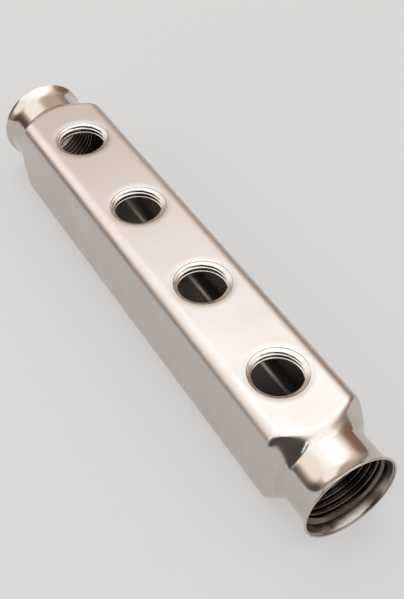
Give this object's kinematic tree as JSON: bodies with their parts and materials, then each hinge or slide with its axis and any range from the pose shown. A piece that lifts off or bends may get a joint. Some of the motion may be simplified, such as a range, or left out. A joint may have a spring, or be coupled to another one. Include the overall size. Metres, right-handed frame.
{
  "type": "water distribution manifold",
  "caption": "Rounded-square stainless steel distribution bar with a row of threaded side ports on top and a flared, threaded socket at each end.",
  "frame": {"origin": "middle of the bar on its axis", "axes": "+X along the bar towards its right end, +Z out of the ports"},
  "size_m": [0.239, 0.038, 0.038],
  "materials": {
    "brushed_stainless": "fine satin brushing along the bar",
    "polished_stainless": "bright polished, faint turning lines",
    "machined_stainless": "bright cut thread",
    "dressed_weld": "weld dressed flush and buffed"
  },
  "bodies": {
    "root": {"header_shell": "brushed_stainless", "port_bush_1": "machined_stainless", "port_bush_2": "machined_stainless", "port_bush_3": "machined_stainless", "port_bush_4": "machined_stainless", "port_weld_1": "dressed_weld", "port_weld_2": "dressed_weld", "port_weld_3": "dressed_weld", "port_weld_4": "dressed_weld", "end_socket_left": "polished_stainless", "end_socket_right": "polished_stainless", "end_weld_left": "dressed_weld", "end_weld_right": "dressed_weld"}
  },
  "joints": []
}
